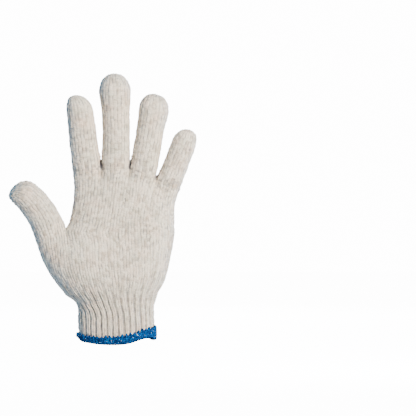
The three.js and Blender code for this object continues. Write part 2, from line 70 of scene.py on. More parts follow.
HEM_WAVE_PLACE = (0.72, 0.28)  # where that is and how wide, as shares of the same way
CUFF_CLEARANCE = 0.6 * MM  # between the cuff's rim and the hem round it
CUFF_LEAN = 0.6 * MM  # of its top, towards the thumb's side
HEEL_HEIGHT = 65 * MM
HEEL_DEPTH = 44 * MM
PALM_WIDTH = 98 * MM
PALM_DEPTH = 36 * MM
PALM_SHIFT = 3.3 * MM  # of its middle, towards the little finger's side
KNUCKLE_HEIGHT = 55.9 * MM
KNUCKLE_SHIFT = 8.8 * MM
KNUCKLE_DEPTH = 23 * MM
THUMB_SIDE_HOLLOW = 3.8 * MM
LITTLE_SIDE_HOLLOW = 2.7 * MM
HEEL_FORWARD = 2 * MM
KNUCKLE_BACK = 5 * MM
CROTCH_DEPTH = 10 * MM
THUMB_CROTCH_DEPTH = 14 * MM
CROTCH_SAG = 3 * MM
THUMB_REACH = 9 * MM
WEB_RISES = (5.8 * MM, 4.4 * MM, 1 * MM)  # of the cloth between two fingers, above its lowest place
THUMB_WEB_RISE = 2.8 * MM

# The knitting. A wale is a column of stitches, a course is a row of them.
FINGER_WALES = 9  # across the front of one finger, and as many across its back
THUMB_WALES = 12
SIDE_WALES = 3  # round each side of a finger, from its front to its back
COURSE = 2 * MM  # height of a course
CAGE_COURSES = 2  # courses between two rings of the cage that the cloth is subdivided from
CAGE_ROW = CAGE_COURSES * COURSE
HEEL_RINGS = 14  # of the cage in the lower palm, a little wider apart than elsewhere
SMOOTHING = 3  # subdivisions of the knitted face: eight steps to a wale
LINING_SMOOTHING = 1  # and of the plain inner face: one point in the middle of an edge

# Relief of the stitches, whose depths and varieties are shares of the stitch's height
STITCH_HEIGHT = 0.7 * MM
STITCH_VARIETY = 0.45
STITCH_SLANT = 0.45  # how far a stitch's sides lie below its middle, in courses
STITCH_SHIFT = 0.6  # how far the stitches of one wale are moved along it, in courses
DIP_DEPTH = 0.45  # of the dips between the stitches of a wale
DIP_SHARPNESS = 2.5  # power: higher is narrower
GAP_DEPTH = 0.68  # of the gaps between the wales
GAP_VARIETY = 0.4
GAP_SHARPNESS = 2.4
PARTING_DEPTH = 0.15  # of the line down the middle of a wale
PARTING_WIDTH = 0.2  # as a share of half a wale
WALE_WANDER = 0.16  # how far a wale strays sideways, in wales
SHEET_LEVEL = 0.6  # the height in a stitch or a rib, from 0 to 1, that lies on the smooth sheet
RIPPLES = [(9 * MM, 0.2 * MM, 21), (24 * MM, 0.4 * MM, 22)]  # width, height and seed of soft unevenness

# What varies in the knit: how many wales and courses it changes over, and its seed. A third of a wale makes
# each whole wale differ from the next.
VARIES = dict(
    wander=(1.5, 2.2, 11),
    shift=(1 / 3, 6, 12),
    stitch=(1 / 3, 10 / 9, 13),
    rib=(7, 9, 14),
    yarn=(0.6, 3, 15),
    tone=(1 / 3, 4 / 3, 16),
    streak=(0.55, 3, 17),
    gap=(1 / 3, 1.4, 18),
    hem=(0.5, 0.25, 31),  # here in teeth and in shares of the hem's height
)
YARN_SHARE = 0.35  # strength of what varies along the yarn, beside what varies from stitch to stitch

# The ribs of the cuff
RIB_WALES = 3  # two wales that stand out and one that lies back
RIB_HEIGHT = 1.3 * MM
RIB_EDGE = (0.02, 0.5)  # where a rib rises and where it is full, as shares of the way from groove to ridge
RIB_DRIFT = 0.35  # how far the ribs stray sideways, in wales
RIB_FADE = 8 * MM  # how far below the palm they begin to fade
RIB_REACH = 0.42  # share of the lower palm's height at which they are gone
SHALLOW_RIBS = 0.6  # their height at the thumb's side, as a share of the others'

# Creases between the fingers, the line where the fingers are knitted on, and a pressed line up the palm:
# each is pressed into the cloth and darkened with painted shade
CREASE_WIDTH = 1.0 * MM
CREASE_DEPTH = 0.8 * MM
CREASE_REACH = (4 * MM, 10 * MM)  # how far a crease runs on below the crotch and above it
JOIN_COURSES = 3.5  # half the width of the line
JOIN_DEPTH = 0.25 * MM
JOIN_FULL = 25 * MM  # height above the thumb's crotch from which it has its full depth
JOIN_LOOSENESS = 0.8  # how much more the stitches vary there
FOLD_X = 1.4 * MM
FOLD_WIDTH = 1.1 * MM
FOLD_DEPTH = 0.25 * MM
FOLD_FROM = (48 * MM, 60 * MM)  # heights between which it sets in
FOLD_TO = (100 * MM, 118 * MM)  # and between which it fades
UNDER_HEM = (0.65 * HEM_HEIGHT, 1.1 * HEM_HEIGHT)  # heights on the hem where the knit comes out from it
PRESSED_DEPTH = 0.4 * MM  # how far the knit is pressed in under the hem

# How much of the yarn's own colour shows against the painted shade of gaps, grooves and creases, and its
# tone, from 0 for dull to 1 for pale
YARN_SHOWN = 0.85
SHOWN_VARIETY = 0.3
GROOVE_SHADE = 0.22  # painted shade: how much of the yarn's colour shows in the grooves between the ribs
LINING_LOOK = 0.6  # both, inside the glove
EVEN_TONE = 0.55
TONE_VARIETY = 0.45
# Painted shade: the tone darkens in the groove of the join line and of the pressed fold
JOIN_SHADE = 0.12
FOLD_SHADE = 0.2

# Dark specks of seed in the yarn: place across, height and radius
SPECKS = [
    (1.4 * MM, 240 * MM, 0.6 * MM),
    (7.7 * MM, 131.5 * MM, 0.7 * MM),
    (66.4 * MM, 175.8 * MM, 1.1 * MM),
]

# The overlocked hem
HEM_TEETH = 48
HEM_STEPS = 18  # columns of the mesh to a tooth
HEM_BULGE = 0.5 * MM  # how much thicker its front is than its back
TOOTH_HEIGHT = 3.4 * MM
TOOTH_FOOT = 1.3 * MM  # how far the foot of the teeth lies below the hem's height
TOOTH_SHARES = (0.5, 1.0)  # the shortest and the tallest tooth
TOOTH_LEAN = 0.12  # how far a tooth leans to one side at most, as a share of its width
TOOTH_POINT = 0.9  # power: lower is blunter
HEM_YARNS = 3  # turns of the yarn to a tooth
HEM_YARN_HEIGHT = 0.5 * MM
HEM_YARN_LEAN = 1.1  # how far a turn leans over the hem's height, in turns
HEM_YARN_WANDER = 0.35  # how far it strays, in turns
HEM_YARN_POINT = 0.8  # power: lower is fuller
HEM_KNOTS = 3.2  # of a turn over the hem's height
KNOT_FOOT = 0.55  # height of the yarn between two knots, as a share
KNOT_SHADE = 0.4  # painted shade between two knots: how much of the yarn's colour shows there
RIM_SHADE = 0.35  # and painted shade at the hem's lower rim, where it turns under
RIM_SHADE_ENDS = (0.02, 0.3)  # shares of the hem's height between which that shade fades
RIM_DROP = 0.6  # share of the yarn's height that also goes down at the lower rim

# Section of the hem, as shares of its height
HEM_FACE = (0.9, 0.18)  # top and foot of its front face
HEM_FACE_SWELL = 0.15 * MM  # how far that face is rounded
HEM_ROLL = 0.16  # height of the round lower rim
HEM_ROLL_ANGLES = (18, 162)  # degrees round that rim, from its front to its back
HEM_BACK = (0.2, 0.85)  # foot and top of its back
HEM_BACK_YARN = 0.8  # strength of the yarn there and on the rim

# Lengths of a finger are metres, its spread, rise and shift are shares of its width, its angles degrees.
# lean is the tilt towards the little finger at root and tip, curl the tilt towards the palm, flare and swell
# widen the root and the part below the dome of the tip, and dome_from is the share where that dome begins.
FINGERS = [
    dict(name="index_finger", length=69.1 * MM, width=25.2 * MM, depth=21.5 * MM, spread=1.023, rise=0.071,
         lean=(-9, -4), curl=(2, 13), flare=0.03, swell=-0.05, dome_from=0.72, bluntness=2.3, shift=-0.13),
    dict(name="middle_finger", length=86.4 * MM, width=24.3 * MM, depth=22 * MM, spread=1.062, rise=0.036,
         lean=(2, -3.8), curl=(1, 12), flare=0.04, swell=0.16, dome_from=0.81, bluntness=2.1, shift=-0.02),
    dict(name="ring_finger", length=73.3 * MM, width=24.6 * MM, depth=21 * MM, spread=0.974, rise=-0.402,
         lean=(9.8, 9), curl=(2, 13), flare=-0.03, swell=0.1, dome_from=0.8, bluntness=2.15, shift=-0.05),
    dict(name="little_finger", length=53.6 * MM, width=22.2 * MM, depth=19 * MM, spread=0.957, rise=-0.428,
         lean=(22.4, 19), curl=(3, 15), flare=0, swell=0, dome_from=0.72, bluntness=2.1, shift=0.04),
]
THUMB = dict(name="thumb", length=59.6 * MM, width=28 * MM, depth=25.5 * MM, spread=0.935, rise=0.453,
             lean=(-12.5, -59), curl=(10, 22), flare=0.03, swell=-0.06, dome_from=0.74, bluntness=2.3,
             shift=-0.17)

# Curves of the lower palm, over shares of its height: left and right are shares of the way out from the
# cuff's edge, heel is how full the depth is, lobes how far thumb and palm have parted.
HEEL = dict(
    up=(0, 0.05, 0.12, 0.22, 0.35, 0.5, 0.66, 0.8, 0.9, 1),
    left=(0.08, 0.2, 0.305, 0.42, 0.568, 0.72, 0.84, 0.912, 0.952, 1),
    right=(0.05, 0.11, 0.185, 0.4, 0.6, 0.735, 0.84, 0.92, 0.96, 1),
    heel=(0, 0.3, 0.58, 0.85, 1, 0.9, 0.68, 0.4, 0.2, 0),
    lobes=(0, 0, 0, 0, 0, 0, 0.08, 0.3, 0.55, 0.85),
)
# Curves of the upper palm: left and right are shares of the two hollows at its sides
PALM = dict(
    up=(0, 0.1, 0.22, 0.34, 0.46, 0.58, 0.7, 0.8, 0.9, 1),
    left=(0, 0.58, 0.76, 0.98, 1, 0.97, 0.84, 0.62, 0.33, 0),
    right=(0, 0.2, 0.42, 0.62, 0.86, 1, 0.98, 0.82, 0.48, 0),
    lobes=(0, 0, 0, 0, 0, 0.03, 0.12, 0.3, 0.62, 1),
)
# Curves of the cuff: wide and deep are shares of its width and depth, lean of how far it leans over
CUFF = dict(
    up=(0, 0.3, 0.55, 0.8, 0.92, 1),
    wide=(1, 0.99, 0.984, 0.983, 1.012, 1.04),
    deep=(1.01, 1.008, 0.99, 0.98, 0.988, 1),
    lean=(0, 0.3, 0.8, 1.1, 1.6, 2.6),
)
# Soft mounds and hollows of the palm side: across is a share of the palm's width from its middle, up a
# share of the palm's height, lift and the reaches are shares of its depth.
MOUNDS = dict(
    thumb_mound=dict(across=-0.42, up=0.34, lift=0.12, reach_across=0.62, reach_up=0.8),
    outer_mound=dict(across=0.32, up=0.28, lift=0.07, reach_across=0.5, reach_up=0.8),
    palm_hollow=dict(across=-0.02, up=0.55, lift=-0.08, reach_across=0.6, reach_up=0.85),
    finger_pads=dict(across=0.02, up=0.86, lift=0.04, reach_across=1.2, reach_up=0.3),
)
MOUNDS_FULL_FROM = 0.25  # share of the lower palm's height from which they are full
MOUNDS_FADE_FROM = 0.75  # share of the upper palm's height from which they fade
KNUCKLES_THIN_TO = 1.1  # share of the upper palm's height over which its depth comes down to the knuckles'

# How full the oval sections are: 2 is an ellipse, more is squarer
ROUND = 2.2
CUFF_ROUND = 2.1
PALM_ROUND = 2.5

FAN_REACH = (0.1, 0.6)  # share of the wales that spreads where the cuff meets the palm, and at the thumb
FAN_SETTLED = 0.7  # share of the lower palm's height at which the wales lie evenly again
THUMB_SHARE_AT_CUFF = 0.21  # share of the cuff's width that the thumb's wales take
THUMB_REACH_DELAY = 1.5  # power of the height with which the thumb's root comes forward
THUMB_REACH_WIDTH = 1.35  # how wide the part that comes forward is, as a share of the thumb's own part
RIB_SLIDE = 9 * MM  # how far the ribs lean over to the thumb's side
SLIDE_HEIGHTS = (22 * MM, 50 * MM, 92 * MM)  # where they begin to lean, lie over fully and are back
SLIDE_FADE = (-0.35, 0.45)  # places across the cuff between which the lean fades, as shares of its width
OFFSET_GONE = 0.2  # share of the upper palm's height over which the ring at the thumb's crotch evens out

# The fingers, in shares of their own sizes
SETTLE = 0.26  # length over which the root's shape gives way to the finger's own oval
FLARE_END = 0.3  # where the flare of the root has gone
SWELL_FROM = 0.55  # where the swell begins
TIP_WIDE = 0.6  # width and depth of the last ring before the crown of the tip
TIP_DEEP = 0.3
TIP_FULLNESS = 1.25  # length round the dome of a tip, as a share of its height
LEAST_ROWS = 4  # rows of the cage in a shaft and in a tip, at least

# Points of a line before the cage's own points are laid along it
COURSE_SAMPLES = 401
OVAL_SAMPLES = 801
MIDDLE_SAMPLES = 121

HALF_EDGE = SIDE_WALES / 2
FINGER_SPAN = FINGER_WALES * len(FINGERS)
PALM_TOP = CUFF_HEIGHT + HEEL_HEIGHT


def mix(a, b, share):
    return a + (b - a) * share


def ease(value, low, high):
    share = np.clip((value - low) / (high - low), 0, 1)
    return share * share * (3 - 2 * share)


def between(curves, name, up):
    """A curve at a place between its points, smooth and with no overshoot."""
    ups, values = np.array(curves["up"], float), np.array(curves[name], float)
    slopes = np.diff(values) / np.diff(ups)
    product = slopes[:-1] * slopes[1:]
    inner = np.where(product > 0, 2 * product / np.where(product > 0, slopes[:-1] + slopes[1:], 1), 0)
    tangents = np.concatenate([slopes[:1], inner, slopes[-1:]])
    i = int(np.clip(np.searchsorted(ups, up) - 1, 0, len(ups) - 2))
    step = ups[i + 1] - ups[i]
    t = (up - ups[i]) / step
    return (
        (2 * t**3 - 3 * t**2 + 1) * values[i] + (t**3 - 2 * t**2 + t) * step * tangents[i]
        + (3 * t**2 - 2 * t**3) * values[i + 1] + (t**3 - t**2) * step * tangents[i + 1]
    )


# Places of the finger roots and of the thumb's crotch
rises = [finger["rise"] * finger["width"] for finger in FINGERS]
spreads = [finger["spread"] * finger["width"] for finger in FINGERS]
knuckle_width = sum(spreads)
root_ends = [(KNUCKLE_SHIFT - knuckle_width / 2, PALM_TOP + KNUCKLE_HEIGHT - rises[0])]
for spread, rise in zip(spreads, rises):
    root_ends.append((root_ends[-1][0] + spread, root_ends[-1][1] + rise))
crotch_x = PALM_SHIFT - PALM_WIDTH / 2
thumb_outer_x = crotch_x - THUMB["spread"] * THUMB["width"]
thumb_outer_z = PALM_TOP - THUMB["rise"] * THUMB["width"]


def mound_at(x, z):
    """How far the palm side stands out at a place."""
    up = (z - CUFF_HEIGHT) / (HEEL_HEIGHT + KNUCKLE_HEIGHT)
    total = 0
    for mound in MOUNDS.values():
        across = (x - PALM_SHIFT - mound["across"] * PALM_WIDTH) / (mound["reach_across"] * PALM_DEPTH)
        along = (up - mound["up"]) * (HEEL_HEIGHT + KNUCKLE_HEIGHT) / (mound["reach_up"] * PALM_DEPTH)
        total = total + mound["lift"] * PALM_DEPTH * np.exp(-across**2 - along**2)
    return total


def lobe_depth(stop, after, place):
    """Half the depth across one finger's root: an oval that narrows to the crotch at its inner ends."""
    full = stop["lobe"] / 2
    edge = np.where(place < 0.5, stop["thick"], after["thick"]) / 2 / full
    power = stop["power"]
    return full * np.maximum(0, 1 - (1 - edge**power) * np.abs(2 * place - 1) ** power) ** (1 / power)


def lengths(line):
    """Length along a line at each of its points."""
    return np.concatenate([[0], np.cumsum(np.linalg.norm(np.diff(line, axis=0), axis=1))])


def at_places(places, own_places, line):
    """Points of a line at places between those of its own points."""
    return np.stack([np.interp(places, own_places, axis) for axis in line.T], 1)


def spaced(line, shares):
    """Points at shares of the length of a line."""
    length = lengths(line)
    return at_places(shares * length[-1], length, line)


def fanned(wale, count, length, fan):
    """Where a wale lies when the cloth has spread at its two edges only."""
    def fall(distance):
        return np.exp(-distance / (fan["reach"] * count))

    full = 1 - fall(count)
    spread = (fan["left"] * (1 - fall(wale)) + fan["right"] * (fall(count - wale) - fall(count))) / full
    return (length - fan["left"] - fan["right"]) * wale / count + spread


def course(row):
    """One ring round the hand: across the front from left to right, and back behind."""
    stops = row["stops"]
    left, right = stops[0]["x"], stops[-1]["x"]
    middle, half = (left + right) / 2, (right - left) / 2
    power = 2 / row["squareness"]

    def angle_of(x):
        across = min(1, max(-1, (x - middle) / half))
        return math.acos(-math.copysign(abs(across) ** (1 / power), across))

    sides = []
    for side in (-1, 1):
        lines, places = [], []
        wale, length = 0, 0
        for stop, after in zip(stops, stops[1:]):
            angle = np.linspace(angle_of(stop["x"]), angle_of(after["x"]), COURSE_SAMPLES)
            x = middle - half * np.sign(np.cos(angle)) * np.abs(np.cos(angle)) ** power
            place = np.clip((x - stop["x"]) / (after["x"] - stop["x"]), 0, 1)
            z = mix(stop["z"], after["z"], place)
            oval = row["depth"] / 2 * np.abs(np.sin(angle)) ** power
            half_depth = mix(oval, lobe_depth(stop, after, place), row["lobes"])
            lean = row["forward"] + row["reach"] * (1 - ease(x, left, row["reach_end"]))
            mound = mound_at(x, z) * row["mounds"] * np.sin(angle) if side < 0 else 0
            line = np.stack([x, side * half_depth - lean - mound, z], 1)
            own = np.arange(math.ceil(wale - 0.5), math.ceil(wale + stop["wales"] - 0.5)) + 0.5
            span = np.linalg.norm(np.diff(line, axis=0), axis=1).sum()
            lines.append(line if not lines else line[1:])
            places.append(length + span * (own - wale) / stop["wales"])
            wale += stop["wales"]
            length += span
        places = np.concatenate(places)
        if "fan" in row:
            kept = fanned(np.arange(len(places)) + 0.5, wale, length, row["fan"])
            places = mix(kept, places, row["fan"]["settled"])
        sides.append(spaced(np.concatenate(lines), places / length))
    return np.concatenate([sides[0], sides[1][::-1]])


def slid(ring, height):
    """A ring whose wales have moved round towards the thumb's side, on that side only."""
    start, full, end = SLIDE_HEIGHTS
    share = ease(height, start, full) * (1 - ease(height, full, end))
    closed = np.concatenate([ring, ring[:1]])
    length = lengths(closed)
    way = RIB_SLIDE * share * (1 - ease(ring[:, 0] / CUFF_WIDTH, *SLIDE_FADE))
    return at_places((length[:-1] - way) % length[-1], length, closed)


def heel_ring(up):
    """A course of the lower palm, from the cuff to the thumb's crotch."""
    at = {name: between(HEEL, name, up) for name in ("left", "right", "heel", "lobes")}
    left = mix(-CUFF_WIDTH / 2 - CUFF_LEAN, thumb_outer_x, at["left"])
    right = mix(CUFF_WIDTH / 2 - CUFF_LEAN, crotch_x + PALM_WIDTH, at["right"])
    thumb_width = crotch_x - thumb_outer_x
    share = mix(THUMB_SHARE_AT_CUFF, thumb_width / (thumb_width + PALM_WIDTH), up)
    level = mix(CUFF_HEIGHT, PALM_TOP - CROTCH_SAG, up)
    outer = dict(lobe=THUMB["depth"], power=ROUND, thick=0)
    ring = course(dict(
        squareness=mix(CUFF_ROUND, PALM_ROUND, up),
        depth=mix(mix(CUFF_DEPTH, PALM_DEPTH, up), HEEL_DEPTH, at["heel"]),
        lobes=at["lobes"],
        forward=HEEL_FORWARD * at["heel"],
        reach=THUMB_REACH * up**THUMB_REACH_DELAY,
        reach_end=mix(left, right, share * THUMB_REACH_WIDTH),
        mounds=ease(up, 0, MOUNDS_FULL_FROM),
        fan=dict(left=-CUFF_WIDTH / 2 - CUFF_LEAN - left, right=right - CUFF_WIDTH / 2 + CUFF_LEAN,
                 reach=mix(*FAN_REACH, up), settled=ease(up, 0, FAN_SETTLED)),
        stops=[
            dict(x=left, z=mix(CUFF_HEIGHT, thumb_outer_z, up), wales=THUMB_WALES + HALF_EDGE, **outer),
            dict(x=mix(left, right, share), z=level, wales=FINGER_SPAN + HALF_EDGE, lobe=PALM_DEPTH,
                 power=PALM_ROUND, thick=THUMB_CROTCH_DEPTH),
            dict(x=right, z=level, thick=0),
        ],
    ))
    return slid(ring, CUFF_HEIGHT + HEEL_HEIGHT * up)


def palm_ring(up):
    """A course of the upper palm, from the thumb's crotch to the finger roots."""
    left = mix(crotch_x, root_ends[0][0], up) + THUMB_SIDE_HOLLOW * between(PALM, "left", up)
    right = mix(crotch_x + PALM_WIDTH, root_ends[-1][0], up)
    right -= LITTLE_SIDE_HOLLOW * between(PALM, "right", up)
    last = len(FINGERS)
    stops = []
    for i, (x, z) in enumerate(root_ends):
        even = mix(left, right, i / last)
        parted = mix(left, right, (x - root_ends[0][0]) / knuckle_width)
        outer = i in (0, last)
        stops.append(dict(
            x=mix(even, parted, ease(up, 0, 1)),
            z=mix(PALM_TOP, z, up) - CROTCH_SAG,
            wales=FINGER_WALES + (HALF_EDGE if outer or i == last - 1 else 0),
            lobe=FINGERS[min(i, last - 1)]["depth"],
            power=ROUND,
            thick=0 if outer else CROTCH_DEPTH,
        ))
    return course(dict(
        squareness=PALM_ROUND, depth=mix(PALM_DEPTH, KNUCKLE_DEPTH, ease(up, 0, KNUCKLES_THIN_TO)),
        lobes=between(PALM, "lobes", up), forward=-KNUCKLE_BACK * ease(up, 0, 1),
        reach=0, reach_end=right, mounds=1 - ease(up, MOUNDS_FADE_FROM, 1), stops=stops,
    ))


def across_cuff(co):
    """Share of the way from the middle of the cuff to its side."""
    return np.clip(co[:, 0] / (CUFF_WIDTH / 2), -1, 1)


def hem_corner(co):
    """How far the hem's lower edge turns up near its two ends, or down where this is negative."""
    across = across_cuff(co)
    return np.where(across < 0, *HEM_CORNERS) * ease(np.abs(across), HEM_CORNER_FROM, 1)


def hem_line(co):
    """Lower edge of the hem: lowest at the front, higher at the sides and the back."""
    across = across_cuff(co)
    place, width = HEM_WAVE_PLACE
    wave = HEM_WAVE * np.exp(-(((across - place) / width) ** 2))
    front = HEM_RISE * (across + HEM_LOWEST) ** 2 + wave + hem_corner(co)
    return np.where(co[:, 1] < 0, front, front + HEM_BACK_RISE * (1 - across**2))


def cuff_ring(up, wales=FINGER_SPAN + THUMB_WALES + SIDE_WALES):
    """A course of the cuff, from just above the hem's lower edge to the palm."""
    wide = CUFF_WIDTH / 2 * between(CUFF, "wide", up)
    deep = CUFF_DEPTH / 2 * between(CUFF, "deep", up)
    lean = CUFF_LEAN * between(CUFF, "lean", up)
    level = dict(z=0, lobe=CUFF_DEPTH, power=2, thick=0)
    ring = course(dict(
        squareness=CUFF_ROUND, depth=2 * deep, lobes=0, forward=0, reach=0, reach_end=wide, mounds=0,
        stops=[dict(x=-wide - lean, wales=wales, **level), dict(x=wide - lean, **level)],
    ))
    ring = slid(ring, CUFF_HEIGHT * up)
    ring[:, 2] = mix(hem_line(ring) + HEM_THICKNESS + CUFF_CLEARANCE, CUFF_HEIGHT, up)
    return ring


# The cage: one sheet of points and faces for the whole glove. A face has its section, its corners and
# the wale and course at each corner.
points = []
faces = []


def add_ring(ring):
    """Adds a ring of points and gives their numbers."""
    points.extend(ring)
    return list(range(len(points) - len(ring), len(points)))


def add_face(section, corners, wales, courses):
    faces.append((section, corners, list(zip(wales, courses))))


def bridge(section, lower, upper, level, wale=0.5):
    """Faces between two rings. level is the course of the lower one, wale the count at its first point."""
    count = len(lower)
    for i in range(count):
        after = (i + 1) % count
        corners = [lower[i], lower[after], upper[after], upper[i]]
        levels = [level, level, level + CAGE_COURSES, level + CAGE_COURSES]
        add_face(section, corners, [i + wale, i + wale + 1, i + wale + 1, i + wale], levels)
    return level + CAGE_COURSES


def loft(section, below, rings, level, wale=0.5):
    """Adds rings one above the other, and gives the last one and its course."""
    for ring in rings:
        above = add_ring(ring)
        level = bridge(section, below, above, level, wale)
        below = above
    return below, level


def middle_line(finger, root):
    """Places beside a finger's middle line: share is of its length, x goes across and y to the back."""
    shares = np.linspace(0, 1, MIDDLE_SAMPLES)
    lean = np.radians(mix(*finger["lean"], shares))
    curl = np.radians(mix(*finger["curl"], shares))
    along = np.stack([np.sin(lean) * np.cos(curl), -np.sin(curl), np.cos(lean) * np.cos(curl)], 1)
    steps = (along[1:] + along[:-1]) / 2 * finger["length"] / (len(shares) - 1)
    centre = root + np.concatenate([np.zeros((1, 3)), np.cumsum(steps, 0)])
    across = np.cross([0, 1, 0], along)
    across /= np.linalg.norm(across, axis=1)[:, None]
    back = np.cross(along, across)

    def place(share, x, y):
        middle, aside, behind = (at_places(share, shares, line) for line in (centre, across, back))
        return middle + aside * x[:, None] + behind * y[:, None]

    return place


def unit_oval(count):
    """Evenly spaced points round an oval of half width and half depth 1, from its left side by the front."""
    angle = np.linspace(0, 2 * np.pi, OVAL_SAMPLES)
    line = np.stack([
        -np.sign(np.cos(angle)) * np.abs(np.cos(angle)) ** (2 / ROUND),
        -np.sign(np.sin(angle)) * np.abs(np.sin(angle)) ** (2 / ROUND),
    ], 1)
    return spaced(line, (np.arange(count) + 0.5) / count)


def add_finger(finger, root, level, wale=0.5, web=0):
    """Shaft, rounded tip and crown of a finger, on the ring of points at its root. wale is the count at the
    ring's first point, web the sum of the rises of the cloth at its two sides."""
    name, length, dome_from = finger["name"], finger["length"], finger["dome_from"]
    count = len(root)
    root_ring = np.array([points[i] for i in root])
    centre = root_ring.mean(0) - [0, 0, 2 * web / count]
    place = middle_line(finger, centre)
    oval = unit_oval(count)
    half_wide, half_deep = finger["width"] / 2, finger["depth"] / 2

    def girth(share):
        flare = finger["flare"] * (1 - ease(share, 0, FLARE_END))
        return 1 + flare + finger["swell"] * ease(share, SWELL_FROM, dome_from)

    def on_dome(local):
        radius = np.minimum(1, (np.abs(local[:, 0]) ** ROUND + np.abs(local[:, 1]) ** ROUND) ** (1 / ROUND))
        height = (1 - radius ** finger["bluntness"]) ** (1 / finger["bluntness"])
        full = girth(dome_from)
        x = local[:, 0] * half_wide * full + finger["shift"] * finger["width"] * height**3
        return place(mix(dome_from, 1, height), x, local[:, 1] * half_deep * full)

    rings = []
    shaft = max(LEAST_ROWS, round(length * dome_from / CAGE_ROW))
    for k in range(1, shaft + 1):
        share = dome_from * k / shaft
        same = np.full(count, share)
        own = place(same, oval[:, 0] * half_wide * girth(share), oval[:, 1] * half_deep * girth(share))
        middle = place(same[:1], np.zeros(1), np.zeros(1))
        rings.append(mix(root_ring + middle - centre, own, ease(share, 0, SETTLE)))
    tip_height = length * (1 - dome_from)
    tip = max(LEAST_ROWS, round(TIP_FULLNESS * tip_height / CAGE_ROW))
    for k in range(1, tip + 1):
        deep = math.cos(math.acos(TIP_DEEP) * k / tip)
        wide = mix(TIP_WIDE, 1, (deep - TIP_DEEP) / (1 - TIP_DEEP))
        local = oval * [wide, deep]
        rings.append(on_dome(local))
    last, level = loft(name, root, rings, level, wale)

    # The points of the crown lie between the front and the back of the last ring
    inner = range(1, (count - 4) // 2 - 1)
    crown = np.array([(local[1 + i] + local[count - 2 - i]) / 2 for i in inner]) * [1, 0]
    close_tip(name, last, dict(zip(inner, add_ring(on_dome(crown)))), level, wale)


def close_tip(name, last, row, level, wale):
    """The crown of a tip: faces from the last ring to the row of points between its front and its back. A
    corner is the number of a point on the ring, or the number of one on the row and its wale."""
    count = len(last)
    front = (count - 4) // 2

    def cap(corners):
        indices, wales, courses = [], [], []
        for corner in corners:
            on_row = isinstance(corner, tuple)
            indices.append(row[corner[0]] if on_row else last[corner])
            wales.append(wale + (corner[1] - 0.5 if on_row else corner))
            courses.append(level + CAGE_COURSES if on_row else level)
        add_face(name, indices, wales, courses)

    cap([0, 1, 2, (1, 2.5)])
    cap([count - 3, count - 2, count - 1, (1, count - 2.5)])
    cap([count - 1, 0, (1, count)])
    cap([front - 1, front, front + 1, (front - 2, front - 0.5)])
    cap([front + 1, front + 2, (front - 2, front + 2)])
    cap([front + 2, front + 3, front + 4, (front - 2, front + 4.5)])
    for i in range(1, front - 2):
        cap([1 + i, 2 + i, (i + 1, i + 2.5), (i, i + 1.5)])
        cap([(i, count - i - 1.5), (i + 1, count - i - 2.5), count - 3 - i, count - 2 - i])


def saddle(front, back, rise):
    """The two points of a crotch, a third and two thirds of the way from the front to the back."""
    ends = np.array(points[front]), np.array(points[back])
    return add_ring([mix(*ends, share) + [0, 0, rise] for share in (1 / 3, 2 / 3)])


def make_cage():
    """The whole sheet, from the cuff's lower rim to the tips. Gives the course of the finger roots."""
    rows = round((CUFF_HEIGHT - HEM_THICKNESS - HEM_RISE / 2) / CAGE_ROW)
    bottom = add_ring(cuff_ring(0))
    below, level = loft("rib_cuff", bottom, [cuff_ring(k / rows) for k in range(1, rows)], 0)
    heel = add_ring(heel_ring(0))
    level = bridge("rib_cuff", below, heel, level)
    rings = [heel_ring(k / HEEL_RINGS) for k in range(1, HEEL_RINGS + 1)]
    split, level = loft("palm_lower", heel, rings, level)

    # The ring parts at the thumb's crotch
    first = THUMB_WALES + 1
    last = len(split) - 1 - first
    front, back = saddle(split[first], split[last], THUMB_WEB_RISE)
    thumb_root = split[: first + 1] + [front, back] + split[last:]
    palm_start = [front] + split[first : last + 1] + [back]
    add_finger(THUMB, thumb_root, level)
    rows = round(KNUCKLE_HEIGHT / CAGE_ROW)
    start = np.array([points[i] for i in palm_start])
    offset = start - palm_ring(0)
    ups = [k / rows for k in range(1, rows + 1)]
    rings = [palm_ring(up) + offset * (1 - ease(up, 0, OFFSET_GONE)) for up in ups]
    wale = THUMB_WALES + 0.5
    top, level = loft("palm_upper", palm_start, rings, level, wale)

    # It parts again at the finger crotches
    count = len(top)
    saddles = [(top[0], top[-1])]
    for i, rise in enumerate(WEB_RISES, 1):
        front, back = top[1 + FINGER_WALES * i], top[count - 2 - FINGER_WALES * i]
        saddles.append(tuple(saddle(front, back, rise + CROTCH_SAG)))
    saddles.append((top[count // 2 - 1], top[count // 2]))
    webs = [0, *WEB_RISES, 0]
    for i, finger in enumerate(FINGERS):
        first = 1 + FINGER_WALES * i
        front = top[first : first + FINGER_WALES + 1]
        back = top[count - 1 - first - FINGER_WALES : count - first]
        root = [saddles[i][0], *front, *saddles[i + 1], *back, saddles[i][1]]
        add_finger(finger, root, level, wale + FINGER_WALES * i, webs[i] + webs[i + 1])
    return level


ROOT_LEVEL = make_cage()  # the course at which the fingers are knitted on
cage = np.array(points)


def new_object(name, data):
    thing = bpy.data.objects.new(name, data)
    bpy.context.scene.collection.objects.link(thing)
    return thing


def read(items, name, width, kind=float):
    """One value of all the points, edges or corners of a mesh."""
    values = np.empty(len(items) * width, kind)
    items.foreach_get(name, values)
    return values.reshape(-1, width)


